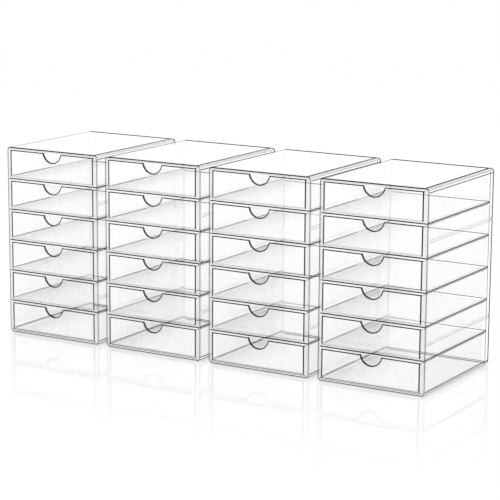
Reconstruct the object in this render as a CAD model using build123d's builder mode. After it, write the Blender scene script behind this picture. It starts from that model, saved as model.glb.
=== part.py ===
"""Craft stamp storage drawers: a row of clear cases that stand side by side, each with six drawers.

Millimetres, +Z up. X runs along the row, from the left case to the right one, and the drawers
open towards -Y. The origin is the middle of the row's footprint, on the surface it stands on.
"""
import os

from build123d import *

# ---- The row ----
tower_count = 4
tower_gap = 11.0              # clear space between two neighbouring cases
drawers_per_tower = 6

# ---- One drawer: an open moulded tray ----
drawer_width = 124.0
drawer_depth = 161.0
drawer_height = 33.4
drawer_wall = 2.0
drawer_floor = 2.0
drawer_corner_radius = 1.6    # upright outer corners
drawer_base_radius = 1.2      # outer edges round the underside
drawer_inside_radius = 1.0    # where the walls meet the floor inside
notch_width = 25.0            # finger notch, measured along the rim
notch_depth = 11.0
notch_shoulder_radius = 1.5   # where the notch runs out into the rim

# ---- One case: a wrapped sleeve, a back panel and shelves, all glued ----
case_wall = 2.5
case_corner_radius = 4.0      # outside, along the four long edges
shelf_thickness = 2.5
back_thickness = 2.5
polished_edge = 0.4           # bevel on the sleeve's open end
groove_width = 2.4            # shallow line along each side of the sleeve
groove_depth = 0.4
grooved_cells = (2, 5)        # cells, counted from the top, that have the line at mid height

# ---- Clearances of a drawer in its cell ----
side_clearance = 0.5
bottom_clearance = 0.3
top_clearance = 0.8
rear_clearance = 1.0
front_setback = 0.5           # drawer front behind the sleeve's open end

# ---- Worked out from the sizes above ----
smallest_radius = 0.5
cell_width = drawer_width + 2 * side_clearance
cell_height = bottom_clearance + drawer_height + top_clearance
cell_pitch = cell_height + shelf_thickness
cells_height = drawers_per_tower * cell_pitch - shelf_thickness
case_width = cell_width + 2 * case_wall
case_height = cells_height + 2 * case_wall
case_depth = front_setback + drawer_depth + rear_clearance + back_thickness
case_inner_radius = max(case_corner_radius - case_wall, smallest_radius)
tower_pitch = case_width + tower_gap

case_front_y = -case_depth / 2
panel_front_y = case_depth / 2 - back_thickness
shelf_depth = panel_front_y - case_front_y
drawer_front_y = case_front_y + front_setback
drawer_centre_y = drawer_front_y + drawer_depth / 2

cavity_width = drawer_width - 2 * drawer_wall
cavity_depth = drawer_depth - 2 * drawer_wall
cavity_corner_radius = max(drawer_corner_radius - drawer_wall, smallest_radius)
notch_radius = (notch_width**2 / 4 + notch_depth**2) / (2 * notch_depth)
notch_reach = 2 * drawer_wall  # how far the notch's cutter goes in behind the drawer front


def tower_x(tower):
    """X of a case's middle; case 1 is the left one."""
    return (tower - (tower_count + 1) / 2) * tower_pitch


def cell_floor_z(cell):
    """Height of the surface that a drawer stands on; cell 1 is the top one."""
    return case_wall + (drawers_per_tower - cell) * cell_pitch


def facing_front(y):
    """A plane across the row at y: its own x is +X, its own y is +Z, and it looks along -Y."""
    return Plane(origin=(0, y, 0), x_dir=(1, 0, 0), z_dir=(0, -1, 0))


os.makedirs("parts", exist_ok=True)

# Sleeve: top, bottom and both sides in one piece, open at the front and the back.
with BuildPart() as sleeve:
    with BuildSketch(facing_front(case_front_y)):
        with Locations((0, case_height / 2)):
            RectangleRounded(case_width, case_height, case_corner_radius)
            RectangleRounded(cell_width, cells_height, case_inner_radius, mode=Mode.SUBTRACT)
    extrude(amount=-case_depth)
    open_end = sleeve.faces().sort_by(Axis.Y)[0]
    chamfer(open_end.edges(), polished_edge)
    with BuildSketch(facing_front(case_front_y)):
        for cell in grooved_cells:
            line_z = cell_floor_z(cell) + cell_height / 2
            with Locations((-case_width / 2, line_z), (case_width / 2, line_z)):
                Rectangle(2 * groove_depth, groove_width)
    extrude(amount=-case_depth, mode=Mode.SUBTRACT)

# Back panel: closes the sleeve's rear end, flush with it.
with BuildPart() as back_panel:
    with BuildSketch(facing_front(panel_front_y)):
        with Locations((0, case_height / 2)):
            RectangleRounded(cell_width, cells_height, case_inner_radius)
    extrude(amount=-back_thickness)

# Shelf: a flat sheet from the open end to the back panel, here with its top at Z 0.
with BuildPart() as shelf:
    with BuildSketch():
        with Locations((0, case_front_y + shelf_depth / 2)):
            Rectangle(cell_width, shelf_depth)
    extrude(amount=-shelf_thickness)

# Drawer: a moulded tray with a finger notch in the front wall, here with its underside at Z 0.
with BuildPart() as drawer:
    with BuildSketch():
        with Locations((0, drawer_centre_y)):
            RectangleRounded(drawer_width, drawer_depth, drawer_corner_radius)
    extrude(amount=drawer_height)
    underside = drawer.faces().sort_by(Axis.Z)[0]
    fillet(underside.edges(), drawer_base_radius)
    with BuildSketch(Plane.XY.offset(drawer_height)):
        with Locations((0, drawer_centre_y)):
            RectangleRounded(cavity_width, cavity_depth, cavity_corner_radius)
    extrude(amount=drawer_floor - drawer_height, mode=Mode.SUBTRACT)
    inside_floor = drawer.faces().filter_by(Axis.Z).sort_by(Axis.Z)[1]
    fillet(inside_floor.edges(), drawer_inside_radius)
    with BuildSketch(facing_front(drawer_front_y)):
        with Locations((0, drawer_height + notch_radius - notch_depth)):
            Circle(notch_radius)
    extrude(amount=-notch_reach, mode=Mode.SUBTRACT)
    rim = drawer.faces().sort_by(Axis.Z)[-1]
    shoulders = rim.edges().filter_by(Axis.Y).sort_by_distance((0, drawer_front_y, drawer_height))
    fillet(shoulders[:2], notch_shoulder_radius)


def place(piece, name, x, z):
    """Put a copy of a piece into the row and write it as a sub-part of its own."""
    with BuildPart() as placed:
        with Locations((x, 0, z)):
            add(piece.part)
    placed.part.label = name
    export_step(placed.part, f"parts/{name}.step")


for tower in range(1, tower_count + 1):
    middle_x = tower_x(tower)
    place(sleeve, f"tower_{tower}_sleeve", middle_x, 0)
    place(back_panel, f"tower_{tower}_back_panel", middle_x, 0)
    for number in range(1, drawers_per_tower):
        place(shelf, f"tower_{tower}_shelf_{number}", middle_x, cell_floor_z(number))
    for number in range(1, drawers_per_tower + 1):
        seat_z = cell_floor_z(number) + bottom_clearance
        place(drawer, f"tower_{tower}_drawer_{number}", middle_x, seat_z)
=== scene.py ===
import math

import bmesh
import bpy
from mathutils import Matrix, Vector


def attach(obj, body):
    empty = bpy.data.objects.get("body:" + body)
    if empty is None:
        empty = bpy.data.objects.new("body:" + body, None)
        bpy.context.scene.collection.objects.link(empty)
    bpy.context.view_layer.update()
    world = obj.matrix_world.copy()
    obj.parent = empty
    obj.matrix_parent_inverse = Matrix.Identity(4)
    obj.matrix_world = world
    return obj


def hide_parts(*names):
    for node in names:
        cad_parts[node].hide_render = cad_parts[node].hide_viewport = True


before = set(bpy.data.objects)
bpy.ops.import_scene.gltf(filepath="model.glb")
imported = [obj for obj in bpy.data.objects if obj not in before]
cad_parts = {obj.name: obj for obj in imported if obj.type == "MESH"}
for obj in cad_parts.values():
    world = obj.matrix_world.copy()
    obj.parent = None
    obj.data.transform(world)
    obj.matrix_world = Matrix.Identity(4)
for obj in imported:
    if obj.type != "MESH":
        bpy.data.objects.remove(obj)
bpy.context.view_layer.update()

# ---- Sleeves -------------------------------------------------------------------------------
# Each case is wrapped in one clear polystyrene sleeve, 2.5 mm thick: top, bottom and both sides,
# bent round the four long edges. Light piles up along every cut edge and bend, so those read as
# thin dark lines, while the flat faces stay almost invisible. The script paints those lines as
# dark strips on the faces: painted shade standing in for how the edges and bends turn the light.

scene = bpy.context.scene
case_count = 4
case_half_width = 0.065
case_height = 0.2245
case_pitch = 0.141
case_wall = 0.0025
bend_radius = 0.004
flat = 0.99999                # an axis-square face's normal, along its axis, is more than this
weld_distance = 1e-6
cut_tolerance = 1e-7
merge_angle = math.radians(0.2)
strip_room = 2.2              # a region narrower than this many strips is one strip
glued_side = 0.0620           # a glued sheet's points beyond these are drawn in by a hair
glued_rear = 0.0790
least_dark = 0.9              # from this darkness up, a face has no shine
inner_skin = 0.0002           # places this far outside the inner faces still count as inside

# Widths of the border strips on the top and bottom, the sides, the open end and the rear end.
top_strip = 0.0024
side_strip = 0.0010
end_strip = 0.0007
rear_strip = 0.0010

# Places on the sleeve where a line or a veil begins, measured from the middle of its footprint.
front_skin = -0.082
side_front = -0.0811
top_front = -0.079
panel_front = 0.080
bare_rear = 0.0755
top_left = -0.058
left_rim = -0.059
right_rim = 0.060
side_low = 0.0055
side_high = 0.2190
bottom_top = 0.0035
bottom_reach = 0.0615
end_middle = 0.00275
rear_middle = 0.0031
groove_floor = 0.0649
grooves = (0.01, 0.22)
low_bends = (0.0012, 0.0022)

# How far a face has turned to the side, as its normal's X, where a line begins or ends.
bevel_turn = 0.5
top_bend_turn = 0.35
middle_bend_turn = (0.55, 0.83)

sleeve_cuts = [(panel_front, (0, 1, 0)), (bare_rear, (0, 1, 0))]


class Socket:
    """One output in a material's nodes, so that shader maths can be written as an expression."""

    def __init__(self, finish, output):
        self.finish = finish
        self.output = output

    def maths(self, operation, first, second=0.0):
        settings = {"operation": operation}
        return self.finish.node("ShaderNodeMath", settings, {0: first, 1: second})

    def __add__(self, other):
        return self.maths("ADD", self, other)

    def __radd__(self, other):
        return self.maths("ADD", other, self)

    def __sub__(self, other):
        return self.maths("SUBTRACT", self, other)

    def __rsub__(self, other):
        return self.maths("SUBTRACT", other, self)

    def __mul__(self, other):
        return self.maths("MULTIPLY", self, other)

    def __rmul__(self, other):
        return self.maths("MULTIPLY", other, self)

    def __truediv__(self, other):
        return self.maths("DIVIDE", self, other)

    def __rtruediv__(self, other):
        return self.maths("DIVIDE", other, self)


class Finish:
    """A new material and the one method that adds a node to it."""

    def __init__(self, name):
        self.material = bpy.data.materials.new(name)
        self.material.use_nodes = True
        self.nodes = self.material.node_tree.nodes
        self.nodes.clear()

    def node(self, kind, settings=None, sockets=None, output=0):
        made = self.nodes.new(kind)
        for name, value in (settings or {}).items():
            setattr(made, name, value)
        for name, value in (sockets or {}).items():
            if isinstance(value, Socket):
                self.material.node_tree.links.new(value.output, made.inputs[name])
            else:
                made.inputs[name].default_value = value
        return Socket(self, made.outputs[output])

    def surface(self, shader):
        end = self.nodes.new("ShaderNodeOutputMaterial")
        self.material.node_tree.links.new(shader.output, end.inputs["Surface"])
        return self.material


veil_white = (0.985, 0.99, 0.995, 1)
# Painted black of the lines along edges and bends: painted shade standing in for light bent away
# there.
line_black = (0.003, 0.003, 0.004, 1)
darkest = 2.0                 # the highest value of the line attribute
least_mix = 0.001             # keeps the share of black defined on faces that show nothing
glance_share = 0.9
square_share = 0.03
glance_falloff = 5.0


def clear_plastic(finish, milk, shine, shadow=0.0):
    """Clear plastic: most light goes through, edges are dark, and the faces mirror at a glance.

    milk says how much of a face is veiled in white, shine how much of the mirror it has, and the
    mesh's line attribute, plus shadow, how dark it is. The lines are painted shade, standing in
    for light bent away at the plastic's edges, and shadow is painted shade on the drawers' floors.
    Light is stopped where it enters the plastic and not where it leaves it again, except by a line
    of 2, which shows from both sides. The lines only look dark: they take no light from the faces
    next to them.
    """
    leaving = finish.node("ShaderNodeNewGeometry", output=6)
    entering = 1.0 - leaving
    shaded = finish.node("ShaderNodeLightPath", output=1)
    scattered = finish.node("ShaderNodeLightPath", output=2)
    drawn = finish.node("ShaderNodeAttribute", {"attribute_name": "line"}, output=2) + shadow
    line = finish.node("ShaderNodeClamp", sockets={
        0: drawn - leaving - shaded * darkest - scattered * darkest, 1: 0.0, 2: 1.0})
    veil = milk * (1.0 - line) * entering
    shade = finish.node("ShaderNodeMix", {"data_type": "RGBA"}, {
        0: line / (line + veil + least_mix), 6: veil_white, 7: line_black}, output=2)
    body = finish.node("ShaderNodeBsdfPrincipled", sockets={
        "Base Color": shade, "Roughness": 0.4, "Specular IOR Level": 0.0})
    through = finish.node("ShaderNodeBsdfTransparent", sockets={"Color": (1, 1, 1, 1)})
    seen = finish.node("ShaderNodeMixShader", sockets={0: line + veil, 1: through, 2: body})
    mirror = finish.node("ShaderNodeBsdfAnisotropic", sockets={
        "Color": (1, 1, 1, 1), "Roughness": 0.03})
    tilted = finish.node("ShaderNodeLayerWeight", sockets={"Blend": 0.5}, output=1)
    glance = tilted.maths("POWER", tilted, glance_falloff)
    gloss = finish.node("ShaderNodeMixShader", sockets={
        0: (glance * glance_share + square_share) * shine * entering, 1: seen, 2: mirror})
    return finish.surface(gloss)


cloud_depth = 0.8
cloud_floor = 0.6


def flow_marks(finish, scale):
    """Very soft clouding, as moulded and rolled plastic has, close to 1 everywhere."""
    place = finish.node("ShaderNodeTexCoord", output=3)
    cloud = finish.node("ShaderNodeTexNoise", sockets={
        "Vector": place, "Scale": scale, "Detail": 2.0, "Roughness": 0.5})
    return cloud * cloud_depth + cloud_floor


sheet_clouding = 30.0         # clouds in a metre, about
sheet = Finish("clear_sheet_finish")
sheet_milk = sheet.node("ShaderNodeAttribute", {"attribute_name": "milk"}, output=2)
sheet_shine = sheet.node("ShaderNodeAttribute", {"attribute_name": "shine"}, output=2)
sheet_finish = clear_plastic(sheet, sheet_milk * flow_marks(sheet, sheet_clouding), sheet_shine)


def flat_regions(bm):
    """Faces square to the axes, gathered into connected regions that lie in one plane."""
    bm.faces.index_update()
    waiting = {face.index for face in bm.faces if max(map(abs, face.normal)) > flat}
    regions = []
    for first in bm.faces:
        if first.index not in waiting:
            continue
        waiting.discard(first.index)
        stack, region = [first], []
        while stack:
            face = stack.pop()
            region.append(face)
            for neighbour in (n for edge in face.edges for n in edge.link_faces):
                if neighbour.index in waiting and neighbour.normal.dot(face.normal) > flat:
                    waiting.discard(neighbour.index)
                    stack.append(neighbour)
        regions.append(region)
    return regions


def dressed(name, origin, cuts, strip, paint, ease=0.0):
    """A copy of a CAD node, ready for its finish.

    The copy is cut by planes, each given by its distance from origin and its normal. Every flat
    region gets a border strip, strip(place, normal) wide. paint(place, normal, on_strip) gives
    each face its darkness and its veil of white, with places measured from origin. Bare faces
    and dark lines get no shine. ease draws a glued piece's sides and rear in by a hair, so that
    it shares no face with its neighbour.
    """
    bm = bmesh.new()
    bm.from_mesh(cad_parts[name].data)
    bmesh.ops.remove_doubles(bm, verts=bm.verts, dist=weld_distance)
    bmesh.ops.dissolve_limit(bm, angle_limit=merge_angle, verts=bm.verts, edges=bm.edges)
    for side in (-1, 1):
        glued = [v for v in bm.verts if side * (v.co.x - origin.x) > glued_side]
        bmesh.ops.translate(bm, verts=glued, vec=(-side * ease, 0, 0))
    glued = [v for v in bm.verts if v.co.y > glued_rear]
    bmesh.ops.translate(bm, verts=glued, vec=(0, -ease, 0))
    line = bm.faces.layers.float.new("line")
    milk = bm.faces.layers.float.new("milk")
    shine = bm.faces.layers.float.new("shine")
    for distance, normal in cuts:
        bmesh.ops.bisect_plane(
            bm, geom=bm.verts[:] + bm.edges[:] + bm.faces[:], dist=cut_tolerance,
            plane_co=origin + distance * Vector(normal), plane_no=normal)
    on_strip = set()
    for region in flat_regions(bm):
        centre = sum((f.calc_center_median() for f in region), Vector()) / len(region) - origin
        width = strip(centre, region[0].normal)
        inside = set(region)
        border = sum(edge.calc_length() for face in region for edge in face.edges
                     if not all(n in inside for n in edge.link_faces))
        across = 2 * sum(face.calc_area() for face in region) / border
        if width and across > strip_room * width:
            on_strip.update(bmesh.ops.inset_region(
                bm, faces=region, thickness=width, use_even_offset=True)["faces"])
        elif width:
            on_strip.update(region)
    for face in bm.faces:
        face.smooth = max(map(abs, face.normal)) <= flat
        face[line], face[milk] = paint(face.calc_center_median() - origin, face.normal,
                                       face in on_strip)
        face[shine] = 1.0 if 0 < face[milk] + face[line] < least_dark else 0.0
    mesh = bpy.data.meshes.new(name + "_clear")
    bm.to_mesh(mesh)
    bm.free()
    piece = bpy.data.objects.new(name + "_clear", mesh)
    scene.collection.objects.link(piece)
    return piece


def fit(piece, name, body, finish):
    """Give a piece its finish and put it in a CAD node's place on a body."""
    piece.data.materials.append(finish)
    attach(piece, body)
    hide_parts(name)


def case_origin(case):
    """The middle of a case's footprint."""
    return Vector(((case - (case_count + 1) / 2) * case_pitch, 0, 0))


def sleeve_strip(place, normal):
    if abs(normal.y) > flat:
        return end_strip if place.y < 0 else rear_strip
    return top_strip if abs(normal.z) > flat else side_strip


def rim_distance(place):
    """How far out a place on the sleeve lies, from 1.5 mm at its inside to 4 mm at its outside."""
    across = max(abs(place.x) - case_half_width + bend_radius, 0)
    upward = max(abs(place.z - case_height / 2) - case_height / 2 + bend_radius, 0)
    return math.hypot(across, upward)


# Darkness of the sleeve's painted lines, painted shade along its edges and bends. 1 is black, and
# what is above 1 shows from behind as well. Where left and right differ, the difference is
# painted shade for the one view from the front right.
inner_bend_line = 0.5
opening_line = 0.3
right_opening_line = 0.15
right_bevel_line = 0.2
rear_outline = darkest
left_rear_outline = 1.2
rear_band = 0.85
low_bend_line = 0.6
top_bend_line = 0.6
middle_bend_line = 0.3
groove_line = 0.8
groove_floor_line = 0.1
side_front_line = 0.3
side_line = 0.95
side_rear_line = 0.2
faint_top_line = 0.6

# White of the sleeve's faces.
end_veil = 0.4
edge_veil = 0.1
inner_side_veil = 0.9
side_veil = 0.02
side_line_veil = 0.03
groove_veil = 0.05
top_veil = 0.4


def end_paint(place, normal, on_strip):
    """The open end: a dark outline round the outside, and a fainter one round the opening."""
    square = abs(normal.y) > flat
    bottom = place.z < bottom_top and abs(place.x) < bottom_reach
    outside = rim_distance(place) > end_middle
    if square and not on_strip:
        return (1.0 if bottom else 0.0), end_veil
    if square and bottom:
        return (1.0 if outside else 0.0), edge_veil
    if normal.x > bevel_turn:
        return right_bevel_line, edge_veil
    if bottom or outside:
        return 1.0, edge_veil
    return (right_opening_line if place.x > right_rim else opening_line), edge_veil


def top_bend_paint(turn):
    """The two top bends carry a line where they leave the top and a fainter one half way down."""
    if turn < top_bend_turn:
        return top_bend_line, edge_veil
    at_middle = middle_bend_turn[0] < turn < middle_bend_turn[1]
    return (middle_bend_line if at_middle else 0.0), edge_veil


def side_paint(place, on_strip):
    """The outer sides: dark along the bends, fainter at the front and rear, clear between."""
    if abs(place.x) < groove_floor:
        return groove_floor_line, 0.0
    if not on_strip:
        return 0.0, side_veil
    if place.y < side_front:
        return side_front_line, side_line_veil
    at_bend = place.z > side_high or place.z < side_low
    return (side_line if at_bend else side_rear_line), side_line_veil


def sleeve_paint(place, normal, on_strip):
    if place.y < front_skin:
        return end_paint(place, normal, on_strip)
    if abs(normal.y) > flat:
        outline = left_rear_outline if place.x < left_rim else rear_outline
        return (outline if on_strip and rim_distance(place) > rear_middle else 0.0), edge_veil
    sideways = abs(normal.x)
    curved = max(sideways, abs(normal.z)) <= flat
    inner = case_wall - inner_skin
    if abs(place.x) < case_half_width - inner and inner < place.z < case_height - inner:
        dark = curved and place.z < bend_radius
        return (inner_bend_line if dark else 0.0), (inner_side_veil if sideways > flat else 0.0)
    if place.y > panel_front:
        return rear_band, edge_veil
    if curved and place.z < bend_radius:
        low, high = low_bends
        return (1.0 if place.z < low else low_bend_line if place.z < high else 0.0), edge_veil
    if curved and place.z > bend_radius:
        return top_bend_paint(sideways)
    if sideways > flat:
        return side_paint(place, on_strip)
    if grooves[0] < place.z < grooves[1]:
        return groove_line, groove_veil
    if not on_strip:
        return (0.0, 0.0) if place.y > bare_rear else (0.0, top_veil)
    faint = place.y < top_front or place.x < top_left
    return (faint_top_line if faint else 1.0), top_veil


for case in range(1, case_count + 1):
    name = f"tower_{case}_sleeve"
    fit(dressed(name, case_origin(case), sleeve_cuts, sleeve_strip, sleeve_paint),
        name, "cases", sheet_finish)

# ---- Back panels ---------------------------------------------------------------------------
# A clear sheet closes the rear end of each sleeve. It is cut to the sleeve's inside and glued in
# flush with its rear edge, so its four edges show as one more outline.

drawers_per_case = 6
hair = 0.00003                # how far a glued sheet's edges are drawn in from the sleeve
cell_pitch = 0.037
shelf_mark = 0.0009
panel_strip = 0.0009
panel_side = 0.0610
# Painted dark lines on the panel, painted shade along its edges: its upright edges, lighter at the
# left front for the one view from the front right, and a line where each shelf and the floor meet
# its front face.
panel_line = 0.75
left_panel_line = 0.2
shelf_mark_line = 0.95
panel_line_veil = 0.05
panel_veil = 0.1
shelf_tops = [case_wall + cell_pitch * cell for cell in range(1, drawers_per_case)]
panel_cuts = [(top - drop, (0, 0, 1)) for top in shelf_tops for drop in (0, shelf_mark)]


def panel_paint(place, normal, on_strip):
    """Dark upright edges, and on the front face a line where each shelf and the floor meet it."""
    if abs(normal.y) <= flat:
        return 0.0, 0.0
    if on_strip and abs(place.x) > panel_side:
        left_front = place.x < 0 and normal.y < 0
        return (left_panel_line if left_front else panel_line), panel_line_veil
    above_shelf = (place.z - case_wall) % cell_pitch
    at_shelf = cell_pitch - shelf_mark < above_shelf < cell_pitch and place.z < shelf_tops[-1]
    at_floor = place.z < case_wall + shelf_mark
    marked = normal.y < 0 and (at_shelf or at_floor)
    return (shelf_mark_line if marked else 0.0), panel_veil


for case in range(1, case_count + 1):
    name = f"tower_{case}_back_panel"
    fit(dressed(name, case_origin(case), panel_cuts, lambda place, normal: panel_strip,
                panel_paint, hair),
        name, "cases", sheet_finish)

# ---- Shelves -------------------------------------------------------------------------------
# Five clear sheets between the cells of each case. They are glued to the sides and the back
# panel; seen through the sides, their long edges are the darkest lines of the object.

shelf_levels = (-0.0012, -0.0016, -0.0019)
shelf_strip = 0.0012
shelf_ring_reach = 0.060
# Painted darkness of the shelf's edges: painted shade standing in for light bent at them.
shelf_gap_line = 0.1
shelf_low_line = 0.6
shelf_ring_line = 0.6
shelf_front_veil = 0.3
shelf_cuts = [(level, (0, 0, 1)) for level in shelf_levels]


def shelf_edging(place, normal):
    return shelf_strip if abs(normal.z) > flat else 0.0


def shelf_paint(place, normal, on_strip):
    """A dark upper edge all round, a thin second line below it at the sides, and clear faces."""
    if abs(normal.x) > flat:
        if place.z > shelf_levels[1]:
            return 1.0, 0.0
        return (shelf_low_line if place.z < shelf_levels[2] else shelf_gap_line), 0.0
    if abs(normal.y) > flat:
        if place.z > shelf_levels[0]:
            return 1.0, 0.0
        return 0.0, (shelf_front_veil if place.y < 0 else 0.0)
    ringed = normal.z > 0 and on_strip and abs(place.x) < shelf_ring_reach
    return (shelf_ring_line if ringed else 0.0), 0.0


for case in range(1, case_count + 1):
    for number in range(1, drawers_per_case):
        name = f"tower_{case}_shelf_{number}"
        level = case_wall + (drawers_per_case - number) * cell_pitch
        fit(dressed(name, case_origin(case) + Vector((0, 0, level)), shelf_cuts, shelf_edging,
                    shelf_paint, hair),
            name, "cases", sheet_finish)

# ---- Drawers -------------------------------------------------------------------------------
# Clear moulded trays, 2 mm thick, with rounded corners and a half-round finger notch in the
# front wall. They slide straight out of their cells and carry no runners or stops.

drawer_gap_below = 0.0003
drawer_front = -0.082
front_strip = 0.0012
drawer_edge_strip = 0.0005
inside_half_width = 0.060
inside_half_depth = 0.0802
inside_bottom = 0.0019
fillet_top = 0.0031
fillet_left = -0.058
right_rim_start = 0.058
front_skin_depth = 0.0018
front_turn = -0.85            # the normal's Y of a face that looks to the front
corner_turn = -0.1            # the normal's X of a face that has begun to turn to the left
base_turn = -0.1              # the normal's Z of a face that has begun to turn down
base_half_turn = 0.1          # the normal's X, either way, that still counts as looking ahead
fade_line = -0.006            # behind it, the line along the floor's left side is fainter
# A painted dark line at the right end of the front only: painted shade standing in for light bent
# by the right side wall.
end_mark = (0.0572, 0.0588)   # line at the right end of the front
front_ends = 0.0590
notch_reach = 0.0142
notch_bottom = 0.0203
rim_bottom = 0.0320
side_rim = 0.033
base_edge_top = 0.0012
base_edge_side = 0.0605
floor_levels = (0.001, 0.003)
drawer_cuts = [(fade_line, (0, 1, 0))] + [(edge, (1, 0, 0)) for edge in end_mark]

# Darkness of the drawer's painted lines, painted shade along its edges, rounds and rim. Where left
# and right differ, the difference is painted shade for the one view from the front right. The
# lowest drawer's base is painted darker, as part of the dark foot of the case.
base_line = 0.2
lowest_base_line = 0.9
front_foot_line = 0.3
front_end_line = 0.95
notch_line = 0.9
faint_line = 0.1
fainter_line = 0.05
floor_side_line = 0.95
rear_floor_side_line = 0.6
left_corner_line = 0.4
right_rim_line = 0.8
rim_line = 0.3
base_side_line = 0.4
# Painted shade on each drawer's floor: its darkness at the left side and where it fades out.
floor_shade = 0.26            # at the left side of the floor, fading to nothing near the middle
floor_shade_from = 0.010
floor_shade_to = 0.062

# White of the drawer's faces.
front_veil = 0.28
skin_veil = 0.1
rim_veil = 0.05
back_wall_veil = 0.35
side_wall_veil = 0.25

tray_clouding = 25.0
tray = Finish("clear_tray_finish")
tray_milk = tray.node("ShaderNodeAttribute", {"attribute_name": "milk"}, output=2)
tray_floor = tray.node("ShaderNodeAttribute", {"attribute_name": "floor"}, output=2)
tray_place = tray.node("ShaderNodeSeparateXYZ",
                       sockets={0: tray.node("ShaderNodeTexCoord", output=3)})
# The painted floor shade fades from the left side of each case towards its middle.
from_left = tray.node("ShaderNodeMath", {"operation": "FLOORED_MODULO"},
                      {0: tray_place + case_pitch * case_count / 2, 1: case_pitch})
fade = tray.node("ShaderNodeMapRange", sockets={
    "Value": from_left,
    "From Min": floor_shade_from, "From Max": floor_shade_to,
    "To Min": floor_shade, "To Max": 0.0})
tray_shine = tray.node("ShaderNodeAttribute", {"attribute_name": "shine"}, output=2)
tray_finish = clear_plastic(tray, tray_milk * flow_marks(tray, tray_clouding), tray_shine,
                            tray_floor * fade)


def drawer_strip(place, normal):
    at_front = normal.y < -flat and place.y < drawer_front + front_strip
    return front_strip if at_front else drawer_edge_strip


def front_face_line(place, on_strip):
    """Darkness on the flat of the front: its ends, its rim and the notch are dark."""
    if end_mark[0] < place.x < end_mark[1]:
        return 1.0
    if not on_strip:
        return 0.0
    at_notch = abs(place.x) < notch_reach and place.z > notch_bottom
    if at_notch or place.z > rim_bottom or place.x < -front_ends:
        return 1.0
    return faint_line if place.x > front_ends else front_foot_line


def drawer_front_paint(place, normal, on_strip, base):
    """The front wall's outer skin: dark lines round it, and a thin veil between them."""
    if normal.y < -flat:
        plain = not on_strip and not end_mark[0] < place.x < end_mark[1]
        return front_face_line(place, on_strip), (front_veil if plain else skin_veil)
    if abs(place.x) < notch_reach and place.z > notch_bottom:
        return notch_line, 0.0
    if normal.y < front_turn and normal.x < corner_turn:
        return front_end_line, skin_veil
    at_base = normal.z < base_turn and abs(normal.x) < base_half_turn
    return (base if at_base else faint_line), skin_veil


# The rounds' lines are painted shade, strongest along the left side of the floor, for the one view
# from the front right.
def fillet_line(place):
    """Darkness of the rounds inside the tray, strongest along the left side of the floor."""
    low = place.z < fillet_top
    if low and place.x < fillet_left:
        return floor_side_line if place.y < fade_line else rear_floor_side_line
    if low:
        return faint_line
    return left_corner_line if place.x < 0 and place.y > 0 else fainter_line


def drawer_paint(place, normal, on_strip, base):
    if place.y < drawer_front + front_skin_depth:
        return drawer_front_paint(place, normal, on_strip, base)
    curved = max(map(abs, normal)) <= flat
    inside = (abs(place.x) < inside_half_width and abs(place.y) < inside_half_depth
              and place.z > inside_bottom)
    if inside and curved:
        return fillet_line(place), 0.0
    if normal.z > flat and place.z > side_rim:
        return (right_rim_line if place.x > right_rim_start else rim_line), rim_veil
    if curved and place.z < base_edge_top and abs(place.x) > base_edge_side:
        return base_side_line, rim_veil
    if inside and normal.y < -flat and place.y > 0:
        return 0.0, back_wall_veil
    return 0.0, (side_wall_veil if inside and abs(normal.x) > flat else 0.0)


for case in range(1, case_count + 1):
    for number in range(1, drawers_per_case + 1):
        name = f"tower_{case}_drawer_{number}"
        level = case_wall + (drawers_per_case - number) * cell_pitch + drawer_gap_below
        base = lowest_base_line if number == drawers_per_case else base_line
        piece = dressed(name, case_origin(case) + Vector((0, 0, level)), drawer_cuts,
                        drawer_strip, lambda *spot: drawer_paint(*spot, base))
        # Mark the floor faces that get the painted shade.
        floor = piece.data.attributes.new("floor", "FLOAT", "FACE")
        for face, mark in zip(piece.data.polygons, floor.data):
            on_floor = floor_levels[0] < face.center.z - level < floor_levels[1]
            mark.value = 1.0 if face.normal.z > flat and on_floor else 0.0
        fit(piece, name, name, tray_finish)

# ---- Table ---------------------------------------------------------------------------------
# The row stands on a glossy white surface that mirrors it faintly, and less the farther it comes
# towards the viewer. It is the same white as the background and keeps only the soft shadow.

table_reach = 12.0
table_drop = 0.0002
table_glow = 0.65             # share of the white that the camera sees without its shadows
table_mirror = 1.2
mirror_ends = -0.50           # in front of the row, where the mirror image has faded out
mirror_starts = -0.08

table_finish = Finish("white_table_finish")
seen_directly = table_finish.node("ShaderNodeLightPath", output=0)
paint = table_finish.node("ShaderNodeBsdfPrincipled", sockets={
    "Base Color": (0.95, 0.95, 0.95, 1), "Roughness": 0.5, "Specular IOR Level": 0.0})
glow = table_finish.node("ShaderNodeEmission", sockets={"Color": (1, 1, 1, 1), "Strength": 1.0})
white = table_finish.node("ShaderNodeMixShader",
                          sockets={0: seen_directly * table_glow, 1: paint, 2: glow})
polish = table_finish.node("ShaderNodeBsdfAnisotropic", sockets={
    "Color": (1, 1, 1, 1), "Roughness": 0.06})
glance = table_finish.node("ShaderNodeFresnel", sockets={"IOR": 1.4})
table_place = table_finish.node("ShaderNodeTexCoord", output=3)
table_depth = table_finish.node("ShaderNodeSeparateXYZ", sockets={0: table_place}, output=1)
nearness = table_finish.node("ShaderNodeMapRange", sockets={
    "Value": table_depth, "From Min": mirror_ends, "From Max": mirror_starts,
    "To Min": 0.0, "To Max": table_mirror})
top = table_finish.node("ShaderNodeMixShader",
                        sockets={0: glance * nearness, 1: white, 2: polish})

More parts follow.
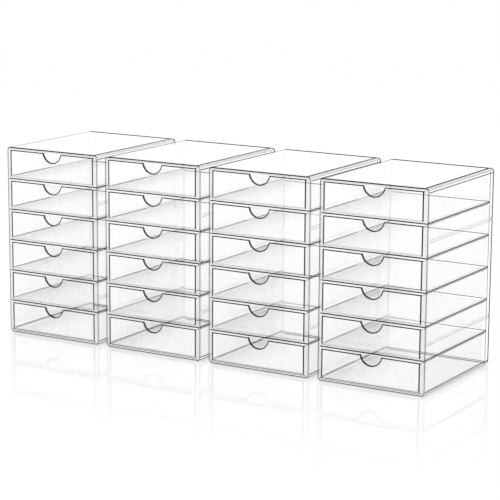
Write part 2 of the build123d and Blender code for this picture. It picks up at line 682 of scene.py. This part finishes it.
bm = bmesh.new()
bmesh.ops.create_grid(bm, x_segments=1, y_segments=1, size=table_reach)
bmesh.ops.translate(bm, verts=bm.verts, vec=(0, 0, -table_drop))
table_mesh = bpy.data.meshes.new("table")
bm.to_mesh(table_mesh)
bm.free()
table = bpy.data.objects.new("table", table_mesh)
scene.collection.objects.link(table)
table_mesh.materials.append(table_finish.surface(top))

# ---- Light ---------------------------------------------------------------------------------
# Plain soft studio light: a white room all round, and one wide lamp above the row, a little to
# the front right, which gives the faint shadow under the cases.

room = bpy.data.worlds.new("white_room")
scene.world = room
room.use_nodes = True
room_nodes = room.node_tree
room_nodes.nodes["Background"].inputs["Color"].default_value = (1, 1, 1, 1)
room_nodes.nodes["Background"].inputs["Strength"].default_value = 1.0

lamp_size = 1.6
lamp_power = 6.0
lamp_place = Vector((0.3, -0.4, 1.8))
lamp_aim = Vector((0, 0, 0.1))

light = bpy.data.lights.new("overhead_lamp", "AREA")
light.size = lamp_size
light.energy = lamp_power
lamp = bpy.data.objects.new("overhead_lamp", light)
lamp.location = lamp_place
lamp.rotation_euler = (lamp_aim - lamp_place).to_track_quat("-Z", "Y").to_euler()
scene.collection.objects.link(lamp)

# ---- Camera --------------------------------------------------------------------------------
# A long lens from the front right, a little above the row. Its place and directions were found
# by fitting the corners of the four cases.

camera_lens = 137.81
camera_place = (1.1245, -1.8630, 0.5532)
camera_heading = math.radians(30.887)
camera_tilt = math.radians(11.366)
camera_roll = math.radians(0.346)

camera_data = bpy.data.cameras.new("camera")
camera_data.lens = camera_lens
camera_data.sensor_width = 36.0
camera_data.clip_start = 0.01
camera = bpy.data.objects.new("camera", camera_data)
turn = (Matrix.Rotation(camera_heading, 4, "Z")
        @ Matrix.Rotation(math.pi / 2 - camera_tilt, 4, "X")
        @ Matrix.Rotation(camera_roll, 4, "Z"))
camera.matrix_world = Matrix.Translation(camera_place) @ turn
scene.collection.objects.link(camera)
scene.camera = camera

scene.cycles.transparent_max_bounces = 96
scene.cycles.max_bounces = 24
scene.cycles.glossy_bounces = 12
scene.view_settings.view_transform = "Standard"
